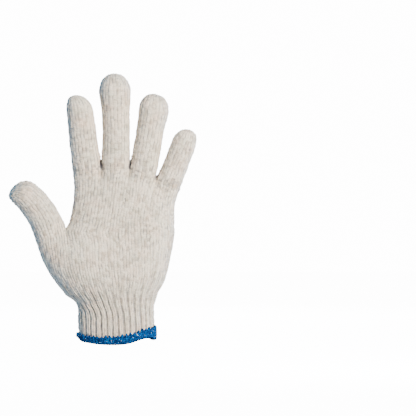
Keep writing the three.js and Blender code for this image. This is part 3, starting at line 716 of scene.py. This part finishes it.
def subdivided(cage_points, levels):
    """The cage as a smooth mesh: points, normals, corners of its faces and the wale and course at each, and
    the edges of the cage itself."""
    mesh = bpy.data.meshes.new("cage")
    mesh.from_pydata(cage_points.tolist(), [], [corners for _, corners, _ in faces])
    layer = mesh.uv_layers.new(name="knit")
    layer.data.foreach_set("uv", np.array([uv for _, _, uvs in faces for uv in uvs]).ravel())
    edges = read(mesh.edges, "vertices", 2, int)
    cloth = new_object("cage", mesh)
    smooth = cloth.modifiers.new("smooth", "SUBSURF")
    smooth.levels = smooth.render_levels = levels
    smooth.uv_smooth = "NONE"
    bpy.ops.object.select_all(action="DESELECT")
    bpy.context.view_layer.objects.active = cloth
    bpy.ops.object.modifier_apply(modifier="smooth")
    mesh = cloth.data
    smoothed = dict(
        co=read(mesh.vertices, "co", 3), normals=read(mesh.vertex_normals, "vector", 3), edges=edges,
        quads=read(mesh.loops, "vertex_index", 1, int).reshape(-1, 4),
        uv=read(mesh.uv_layers[0].data, "uv", 2).reshape(-1, 4, 2),
    )
    bpy.data.objects.remove(cloth)
    bpy.data.meshes.remove(mesh)
    return smoothed


# The smooth cloth shrinks inside its cage, so the cage is moved out until the cloth passes through it
target = cage.copy()
for _ in range(2):
    cage += target - subdivided(cage, LINING_SMOOTHING)["co"][: len(cage)]


def lattice_noise(places, seed):
    """Smooth noise from -1 to 1 on a lattice of cells of size 1, in two or three dimensions."""
    cell = np.floor(places).astype(int)
    inside = places - cell
    weight = inside * inside * (3 - 2 * inside)
    total = np.zeros(len(places))
    for corner in np.ndindex(*(2,) * places.shape[1]):
        key = np.full(len(places), seed, np.uint64)
        share = np.ones(len(places))
        for axis, step in enumerate(corner):
            number = (cell[:, axis] + step + 4096).astype(np.uint64)
            key = (key ^ number) * np.uint64(0xBF58476D1CE4E5B9)
            key ^= key >> np.uint64(27)
            key *= np.uint64(0x94D049BB133111EB)
            key ^= key >> np.uint64(31)
            share *= weight[:, axis] if step else 1 - weight[:, axis]
        total += share * ((key >> np.uint64(40)).astype(float) / 2**23 - 1)
    return total


def uneven(what, wale, level):
    """How far something in the knit is from its usual value at each place, from -1 to 1."""
    wales, courses, seed = VARIES[what]
    return lattice_noise(np.stack(np.broadcast_arrays(wale / wales, level / courses), 1), seed)


def stitch_relief(wale, level):
    """Height of the yarn, from 0 in the deepest gap to 1: a column of rounded stitches to each wale."""
    across = wale + WALE_WANDER * uneven("wander", wale, level)
    side = np.abs(across - np.round(across)) * 2
    gap = GAP_DEPTH + GAP_VARIETY * uneven("gap", np.floor(across), level)
    column = 1 - gap * side**GAP_SHARPNESS - PARTING_DEPTH * np.exp(-((side / PARTING_WIDTH) ** 2))
    phase = level + STITCH_SLANT * side + STITCH_SHIFT * uneven("shift", np.round(across), level)
    along = np.abs(phase - np.round(phase)) * 2
    return np.clip(column, 0, 1) * (1 - DIP_DEPTH * along**DIP_SHARPNESS)


def rib_relief(wale):
    """Height of the ribs from 0 in the groove to 1: broad ridges, narrow grooves."""
    turn = wale / RIB_WALES
    groove = np.abs(turn - np.round(turn)) * 2
    return ease(groove, *RIB_EDGE)


def near_crotches(co, width, below, above):
    """How near each point is to the lines between two fingers, which run on from their crotches."""
    near = np.zeros(len(co))
    for i, (x, z) in enumerate(root_ends[1:-1]):
        lean = math.radians((FINGERS[i]["lean"][0] + FINGERS[i + 1]["lean"][0]) / 2)
        along = co[:, 2] - z
        across = (co[:, 0] - x - along * math.tan(lean)) / width
        near = np.maximum(near, np.exp(-across**2 - (along / np.where(along < 0, below, above)) ** 2))
    return near


def cloth_relief(co, wale, level, ribs):
    """At each point of the knitted face: how far it stands out, how much of the yarn's colour shows against
    the painted shade of gaps, grooves and creases, and its tone.
    """
    column = np.round(wale)
    crease = near_crotches(co, CREASE_WIDTH, *CREASE_REACH)
    join = np.exp(-(((level - ROOT_LEVEL) / JOIN_COURSES) ** 2))
    join = join * ease(co[:, 2], PALM_TOP, PALM_TOP + JOIN_FULL)
    front = np.where(co[:, 1] < 0, 1, 0)
    fold = np.exp(-(((co[:, 0] - FOLD_X) / FOLD_WIDTH) ** 2)) * front
    fold = fold * ease(co[:, 2], *FOLD_FROM) * (1 - ease(co[:, 2], *FOLD_TO))

    variety = uneven("stitch", column, level) + YARN_SHARE * uneven("yarn", wale, level)
    variety = variety * (1 + JOIN_LOOSENESS * join)
    yarn = stitch_relief(wale, level)
    rib = rib_relief(wale + RIB_DRIFT * uneven("rib", wale, level))
    height = STITCH_HEIGHT * (yarn * (1 + STITCH_VARIETY * variety) - SHEET_LEVEL)
    height = height + RIB_HEIGHT * (rib - SHEET_LEVEL) * ribs
    for width, lift, seed in RIPPLES:
        height = height + lift * lattice_noise(co / width, seed)
    height = height - CREASE_DEPTH * crease - JOIN_DEPTH * join - FOLD_DEPTH * fold
    height = mix(height, -PRESSED_DEPTH, 1 - ease(co[:, 2] - hem_line(co), *UNDER_HEM))

    # Painted shade: little of the yarn's colour is kept where the yarn dips into the gaps between wales and
    # stitches
    shown = np.clip(yarn * (YARN_SHOWN + SHOWN_VARIETY * variety), 0, 1)
    # Painted shade in the grooves between the ribs and, through 1 - crease, in the creases between the
    # fingers
    shown = shown * mix(1, mix(GROOVE_SHADE, 1, rib), ribs) * (1 - crease)
    for x, z, radius in SPECKS:
        distance = ((co[:, 0] - x) ** 2 + (co[:, 2] - z) ** 2) / radius**2
        shown = shown * (1 - np.exp(-distance) * front)
    tone = uneven("tone", column, level) + YARN_SHARE * uneven("streak", wale, level)
    # The tone varies at random from stitch to stitch; the join line and the pressed fold are darkened with
    # painted shade
    tone = EVEN_TONE + TONE_VARIETY * tone - JOIN_SHADE * join - FOLD_SHADE * fold
    return height, shown, np.clip(tone, 0, 1)


knitted = subdivided(cage, SMOOTHING)
lining = subdivided(cage, LINING_SMOOTHING)

# Wale, course and share of ribbing at each point of the knitted face
point_uv = np.zeros((len(knitted["co"]), 2))
point_uv[knitted["quads"].ravel()] = knitted["uv"].reshape(-1, 2)
rib_share = 1 - ease(knitted["co"][:, 2] - CUFF_HEIGHT, -RIB_FADE, RIB_REACH * HEEL_HEIGHT)
rib_share *= mix(SHALLOW_RIBS, 1, ease(knitted["co"][:, 0], -CUFF_WIDTH / 2, -CUFF_WIDTH / 4))
relief, painted_shade_and_specks, yarn_tone = cloth_relief(knitted["co"], point_uv[:, 0], point_uv[:, 1], rib_share)
knitted_co = knitted["co"] + knitted["normals"] * relief[:, None]
lining_co = lining["co"] - lining["normals"] * CLOTH_THICKNESS
face_sizes = np.array([len(corners) for _, corners, _ in faces])


def faces_of(section, levels):
    """Which faces of a subdivided sheet belong to a section."""
    per_face = np.where(face_sizes == 4, 4**levels, 3 * 4 ** (levels - 1))
    own = np.repeat([name == section for name, _, _ in faces], per_face)
    return np.flatnonzero(own)


def rim_strips(section):
    """What joins a section's knitted face to its lining along its open edges: for each half of an edge of
    the cage, the points of the knitted face and those of the lining."""
    own = [corners for name, corners, _ in faces if name == section]
    edges = [edge for corners in own for edge in zip(corners, corners[1:] + corners[:1])]
    shared = {(b, a) for a, b in edges}
    numbers = {tuple(edge): k for k, edge in enumerate(knitted["edges"].tolist())}
    steps = 2**SMOOTHING
    half = steps // 2
    strips = []
    for a, b in edges:
        if (a, b) in shared:
            continue
        forward = (a, b) in numbers
        k = numbers[(a, b) if forward else (b, a)]
        between_ends = [len(cage) + (steps - 1) * k + i for i in range(steps - 1)]
        middle = len(cage) + k
        outside = [a, *(between_ends if forward else between_ends[::-1]), b]
        strips.append((outside[: half + 1], [a, middle]))
        strips.append((outside[half:], [middle, b]))
    return strips


def knit_piece(name, co, polygons, uv, looks):
    """A piece with the map of its knit, and with the attributes that its material reads."""
    mesh = bpy.data.meshes.new(name)
    mesh.from_pydata(co.tolist(), [], polygons)
    layer = mesh.uv_layers.new(name="knit")
    layer.data.foreach_set("uv", uv.ravel())
    for title, values in looks.items():
        attribute = mesh.attributes.new(title, "FLOAT", "POINT")
        attribute.data.foreach_set("value", values)
    mesh.polygons.foreach_set("use_smooth", np.ones(len(mesh.polygons), bool))
    mesh.validate()
    return new_object(name, mesh)


def make_section(name, section):
    """One section of the cloth as a closed piece: knitted face, lining and rims."""
    own_knitted = faces_of(section, SMOOTHING)
    own_lining = faces_of(section, LINING_SMOOTHING)
    quads, lining_quads = knitted["quads"][own_knitted], lining["quads"][own_lining]
    used, used_lining = np.unique(quads), np.unique(lining_quads)
    number = np.full(len(knitted_co), -1)
    number[used] = np.arange(len(used))
    lining_number = np.full(len(lining_co), -1)
    lining_number[used_lining] = np.arange(len(used_lining)) + len(used)
    polygons = number[quads].tolist() + lining_number[lining_quads[:, ::-1]].tolist()
    rim_uv = []
    for outside, inside in rim_strips(section):
        corners = [*number[outside[::-1]], *lining_number[inside]]
        polygons.append([int(corner) for corner in corners])
        rim_uv.extend(point_uv[[*outside[::-1], outside[0], outside[-1]]])
    uv = np.concatenate([
        knitted["uv"][own_knitted].reshape(-1, 2),
        lining["uv"][own_lining][:, ::-1].reshape(-1, 2),
        np.array(rim_uv),
    ])
    plain = np.full(len(used_lining), LINING_LOOK)
    return knit_piece(
        name, np.concatenate([knitted_co[used], lining_co[used_lining]]), polygons, uv,
        dict(painted_shade_and_specks=np.concatenate([painted_shade_and_specks[used], plain]),
             yarn_tone=np.concatenate([yarn_tone[used], plain])),
    )


def hem_profile(front, back):
    """Section of the hem, down its front, round the rim and up its back: how far out, how high as a share of
    its height, and how strong the yarn is."""
    middle, radius = (front + back) / 2, (front - back) / 2
    profile = [(0.45 * MM, 1.0, 0.2), (front * 0.8, 0.965, 0.7)]
    for share in np.linspace(0, 1, 12):
        profile.append((front + HEM_FACE_SWELL * math.sin(math.pi * share), mix(*HEM_FACE, share), 1))
    for angle in np.radians(np.linspace(*HEM_ROLL_ANGLES, 9)):
        profile.append((middle + radius * math.cos(angle), HEM_ROLL * (1 - math.sin(angle)), HEM_BACK_YARN))
    for share in np.linspace(0, 1, 6):
        profile.append((back, mix(*HEM_BACK, share), HEM_BACK_YARN))
    hidden = [(-CLOTH_THICKNESS, 0.88), (-CLOTH_THICKNESS - 0.1 * MM, 0.45), (0, 0.32), (0.3 * MM, 0.7)]
    return profile + [(distance, share, 0) for distance, share in hidden]


def hem_teeth(turn):
    """Height of the uneven teeth along the hem, from 0 to 1."""
    random = np.random.default_rng(5)
    tall = random.uniform(*TOOTH_SHARES, HEM_TEETH)
    shift = random.uniform(-TOOTH_LEAN, TOOTH_LEAN, HEM_TEETH)
    number = turn.astype(int)
    inside = turn - number
    inside = inside + shift[number] * np.sin(np.pi * inside)
    return tall[number] * (1 - np.abs(2 * inside - 1)) ** TOOTH_POINT


def make_hem():
    """The overlocked edge: yarn wound round the cuff's lower rim, its upper edge in uneven teeth."""
    columns = HEM_TEETH * HEM_STEPS
    turn = (np.arange(columns) + 0.5) / HEM_STEPS
    base = cuff_ring(0, columns // 2)
    out = np.cross(np.roll(base, -1, 0) - np.roll(base, 1, 0), [0, 0, 1])
    out[:, 2] = 0
    out /= np.linalg.norm(out, axis=1)[:, None]
    level = hem_line(base)
    height = HEM_HEIGHT * (1 + HEM_GROWTH * across_cuff(base)) - hem_corner(base)
    top = height - TOOTH_FOOT + TOOTH_HEIGHT * hem_teeth(turn)
    front = HEM_THICKNESS + HEM_BULGE
    back = -CLOTH_THICKNESS - HEM_THICKNESS
    rows, shown = [], []
    for distance, share, strength in hem_profile(front, back):
        slant = turn * HEM_YARNS + HEM_YARN_LEAN * share + HEM_YARN_WANDER * uneven("hem", turn, share)
        ridge = np.abs(np.sin(np.pi * slant)) ** HEM_YARN_POINT
        knot = np.abs(np.sin(np.pi * (share * HEM_KNOTS + 0.5 * np.floor(slant)))) ** HEM_YARN_POINT
        bump = strength * HEM_YARN_HEIGHT * (ridge * mix(KNOT_FOOT, 1, knot) - 0.5)
        outwards = 1 if distance > (front + back) / 2 else -1
        row = base + out * (distance + outwards * bump)[:, None]
        row[:, 2] = level + share * top
        if share < HEM_ROLL:
            row[:, 2] -= bump * RIM_DROP
        rows.append(row)
        # Painted shade: the yarn's colour darkens between its turns, between its knots and at the lower rim
        # where the hem turns under
        shown.append(ridge * mix(KNOT_SHADE, 1, knot) * mix(RIM_SHADE, 1, ease(share, *RIM_SHADE_ENDS)))
    count = len(rows)
    index = np.arange(count * columns).reshape(count, columns)
    following = np.roll(index, -1, 0)
    quads = np.stack([index, following, np.roll(following, -1, 1), np.roll(index, -1, 1)], -1).reshape(-1, 4)
    corner = np.stack([np.tile(turn, count), np.repeat(np.arange(count), columns)], 1)
    uv = corner[quads.ravel()].reshape(-1, 4, 2)
    uv[:, 2:, 0] = uv[:, :2, 0][:, ::-1] + 1 / HEM_STEPS
    uv[:, [1, 2], 1] = uv[:, [0, 3], 1] + 1
    return knit_piece("hem_overlock", np.concatenate(rows), quads.tolist(), uv,
                      dict(painted_shade_and_specks=np.concatenate(shown)))


def new_material(name):
    """A material with nothing but its surface, and what adds its nodes."""
    material = bpy.data.materials.new(name)
    material.use_nodes = True
    nodes = material.node_tree.nodes
    nodes.clear()
    output = nodes.new("ShaderNodeOutputMaterial")
    surface = nodes.new("ShaderNodeBsdfPrincipled")
    material.node_tree.links.new(surface.outputs["BSDF"], output.inputs["Surface"])
    return material, surface, Nodes(material)


class Nodes:
    """Short names for adding and linking a material's nodes."""

    def __init__(self, material):
        self.tree = material.node_tree

    def feed(self, socket, value):
        if isinstance(value, bpy.types.NodeSocket):
            self.tree.links.new(value, socket)
        else:
            socket.default_value = value

    def fill(self, node, **inputs):
        for key, value in inputs.items():
            self.feed(node.inputs[key.replace("_", " ")], value)
        return node

    def add(self, kind, **inputs):
        return self.fill(self.tree.nodes.new(kind), **inputs)

    def attribute(self, name):
        node = self.add("ShaderNodeAttribute")
        node.attribute_name = name
        return node.outputs["Fac"]

    def noise(self, vector, scale, detail=2.0, rough=0.5):
        node = self.add("ShaderNodeTexNoise", Vector=vector, Scale=scale, Detail=detail, Roughness=rough)
        return node.outputs["Fac"]

    def ramp(self, factor, *stops):
        node = self.add("ShaderNodeValToRGB", Fac=factor)
        elements = node.color_ramp.elements
        while len(elements) < len(stops):
            elements.new(0.5)
        for element, (position, colour) in zip(elements, stops):
            element.position = position
            element.color = (*colour, 1)
        return node.outputs["Color"]

    def blend(self, how, factor, a, b):
        node = self.add("ShaderNodeMix")
        node.data_type = "RGBA"
        node.blend_type = how
        for number, value in ((0, factor), (6, a), (7, b)):
            self.feed(node.inputs[number], (*value, 1) if isinstance(value, tuple) else value)
        return node.outputs[2]

    def maths(self, operation, a, b):
        node = self.add("ShaderNodeMath")
        node.operation = operation
        self.feed(node.inputs[0], a)
        self.feed(node.inputs[1], b)
        return node.outputs[0]


BLACK = (0, 0, 0)
WHITE = (1, 1, 1)
COTTON = (0.95, 0.842, 0.668)
# COTTON_SHADE_AND_SPECK is the painted shade down in the gaps, the rib grooves and the creases between the
# fingers, and the colour of the dark seed specks
COTTON_SHADE_AND_SPECK = (0.21, 0.195, 0.18)
FIBRE_DEPTH = 0.3 * MM


def cotton_material():
    """Undyed cotton: a soft cream yarn whose colour wanders, with painted shade, darker and greyer, down in
    the gaps, the rib grooves and the creases, and dark seed specks.
    """
    material, surface, make = new_material("cotton_knit")
    place = make.add("ShaderNodeTexCoord").outputs["Object"]
    knit = make.tree.nodes.new("ShaderNodeUVMap")
    knit.uv_map = "knit"
    streaks = make.add("ShaderNodeMapping", Vector=knit.outputs["UV"], Scale=(1.1, 0.12, 1))
    streak = make.noise(streaks.outputs["Vector"], 1.0, 3)
    cloud = make.noise(place, 75, 3, 0.6)
    speckle = make.noise(place, 900, 2, 0.6)
    # dull is reached by stitches of a duller tone and by the painted shade along the join and the fold
    dull, even = (0.64, 0.61, 0.58), (0.96, 0.96, 0.96)
    colour = COTTON
    for shade in (
        make.ramp(streak, (0.3, (0.84, 0.82, 0.80)), (0.6, WHITE)),
        make.ramp(make.attribute("yarn_tone"), (0.05, dull), (0.6, even), (1, WHITE)),
        make.ramp(cloud, (0.3, (0.91, 0.96, 0.95)), (0.5, WHITE), (0.72, (1.0, 0.92, 0.90))),
        make.ramp(speckle, (0.36, (0.78, 0.76, 0.74)), (0.56, WHITE)),
    ):
        colour = make.blend("MULTIPLY", 1.0, colour, shade)
    # Painted shade: where little of the yarn's colour is kept, in gaps, grooves and creases, it turns to the
    # shade colour; the dark seed specks take it too
    gap = make.ramp(make.attribute("painted_shade_and_specks"), (0.05, BLACK), (0.55, WHITE))
    colour = make.blend("MIX", gap, COTTON_SHADE_AND_SPECK, colour)
    fibres = make.noise(place, 2600, 4, 0.7)
    bump = make.add("ShaderNodeBump", Strength=0.5, Distance=FIBRE_DEPTH, Height=fibres)
    make.fill(surface, Base_Color=colour, Normal=bump.outputs["Normal"], Roughness=0.92,
              Specular_IOR_Level=0.25, Sheen_Weight=0.25, Sheen_Roughness=0.6)
    return material


HEM_BLUE = (0.0, 0.034, 0.15)
# HEM_DARK_FIBRE_AND_SHADE is the colour of the darkest fibres and of the painted shade between the turns,
# between the knots and at the lower rim
HEM_DARK_FIBRE_AND_SHADE = (0.0, 0.006, 0.03)
HEM_PALE = (0.001, 0.145, 0.43)
HEM_SPECK = (0.6, 0.72, 0.8)


def overlock_material():
    """Blue overlock yarn with paler fibres, painted shade between its turns, between its knots and at its
    lower rim, and specks of the cotton that show between its turns.
    """
    material, surface, make = new_material("overlock_thread")
    place = make.add("ShaderNodeTexCoord").outputs["Object"]
    fibres = make.noise(place, 800, 3, 0.6)
    colour = make.ramp(fibres, (0.36, HEM_DARK_FIBRE_AND_SHADE), (0.5, HEM_BLUE), (0.66, HEM_PALE))
    # Painted shade between the turns, between the knots and at the lower rim
    shown = make.ramp(make.attribute("painted_shade_and_specks"), (0.05, BLACK), (0.5, WHITE))
    colour = make.blend("MIX", shown, HEM_DARK_FIBRE_AND_SHADE, colour)
    specks = make.ramp(make.noise(place, 640, 1, 0.4), (0.705, BLACK), (0.745, WHITE))
    colour = make.blend("MIX", specks, colour, HEM_SPECK)
    fibres = make.noise(place, 3000, 3, 0.6)
    bump = make.add("ShaderNodeBump", Strength=0.6, Distance=FIBRE_DEPTH, Height=fibres)
    make.fill(surface, Base_Color=colour, Normal=bump.outputs["Normal"], Roughness=0.9,
              Specular_IOR_Level=0.1)
    return material


cotton = cotton_material()
SECTIONS = [
    ("cuff_knit", "rib_cuff", "rib_cuff"),
    ("palm_lower_knit", "palm_lower", "palm"),
    ("palm_upper_knit", "palm_upper", "palm"),
    ("thumb_knit", "thumb", "thumb"),
    *[(finger["name"].replace("finger", "knit"), finger["name"], finger["name"]) for finger in FINGERS],
]
for name, section, node in SECTIONS:
    piece = make_section(name, section)
    piece.data.materials.append(cotton)
    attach(piece, "root")
    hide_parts(node)

hem = make_hem()
hem.data.materials.append(overlock_material())
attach(hem, "root")
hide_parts("overlock_hem")

FLOOR_SIZE = 8
FLOOR_GAP = 0.6 * MM  # below the origin
PAPER_GLOW = 14.0  # as the camera sees the floor
SKY_GLOW = 14.5  # and the world behind it
SKY_LIGHT = 0.13  # strength of the world's light on the glove
SKY_BLUE = (0.3, 0.62, 1.0)
LIGHT_TARGET = (0, 0, 0.12)


def stage_material():
    """White paper that the camera sees bright, while it throws only its own soft light on the glove."""
    material, surface, make = new_material("studio_paper")
    seen = make.add("ShaderNodeLightPath").outputs["Is Camera Ray"]
    make.fill(surface, Base_Color=(0.3, 0.36, 0.45, 1), Roughness=0.95, Emission_Color=(*WHITE, 1),
              Emission_Strength=make.maths("MULTIPLY", seen, PAPER_GLOW))
    return material


def make_stage():
    """A pale floor just under the hem."""
    bpy.ops.object.select_all(action="DESELECT")
    bpy.ops.mesh.primitive_plane_add(size=FLOOR_SIZE, location=(0, 0, -FLOOR_GAP))
    floor = bpy.context.object
    floor.name = "floor"
    floor.data.materials.append(stage_material())
    floor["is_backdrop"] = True


def area_light(name, place, size, power, colour):
    """A round light that faces the glove."""
    data = bpy.data.lights.new(name, "AREA")
    data.shape = "DISK"
    data.size = size
    data.energy = power
    data.color = colour
    light = new_object(name, data)
    light.location = place
    light.rotation_euler = (Vector(LIGHT_TARGET) - Vector(place)).to_track_quat("-Z", "Y").to_euler()


def make_lights():
    area_light("key", (0.46, -0.66, 0.34), 0.3, 18.5, (1.0, 0.915, 0.82))
    area_light("top", (0, -0.2, 1.4), 0.6, 8, SKY_BLUE)
    area_light("rim_left", (-1.1, 0.05, 0.2), 0.5, 5, (0.12, 0.5, 1.0))
    area_light("rim_right", (1.1, 0.2, 0.3), 0.5, 9, (0.08, 0.45, 1.0))
    area_light("back", (0.1, 1.15, 0.75), 0.6, 30, (1.0, 0.94, 0.87))


def make_world():
    """The world, bright to the camera and a faint blue light to the glove."""
    world = bpy.data.worlds.new("studio")
    world.use_nodes = True
    make = Nodes(world)
    seen = make.add("ShaderNodeLightPath").outputs["Is Camera Ray"]
    glow = make.maths("MULTIPLY", seen, SKY_GLOW)
    make.fill(world.node_tree.nodes["Background"], Color=make.blend("MIX", seen, SKY_BLUE, WHITE),
              Strength=make.maths("ADD", glow, SKY_LIGHT))
    bpy.context.scene.world = world


SENSOR_WIDTH = 36
CAMERA_DISTANCE = 3.5
VIEW_CENTRE = (0.0827, 0, 0.1234)
VIEW_WIDTH = 0.376  # what the picture is across, at the glove


def make_camera():
    data = bpy.data.cameras.new("camera")
    data.sensor_width = SENSOR_WIDTH
    data.lens = SENSOR_WIDTH * CAMERA_DISTANCE / VIEW_WIDTH
    camera = new_object("camera", data)
    camera.location = Vector(VIEW_CENTRE) + Vector((0, -CAMERA_DISTANCE, 0))
    camera.rotation_euler = (math.pi / 2, 0, 0)
    bpy.context.scene.camera = camera


make_stage()
make_lights()
make_world()
make_camera()

boxes = {"cad": cad_box, "visual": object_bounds()}
{name: [list(map(float, corner)) for corner in box] for name, box in boxes.items()}
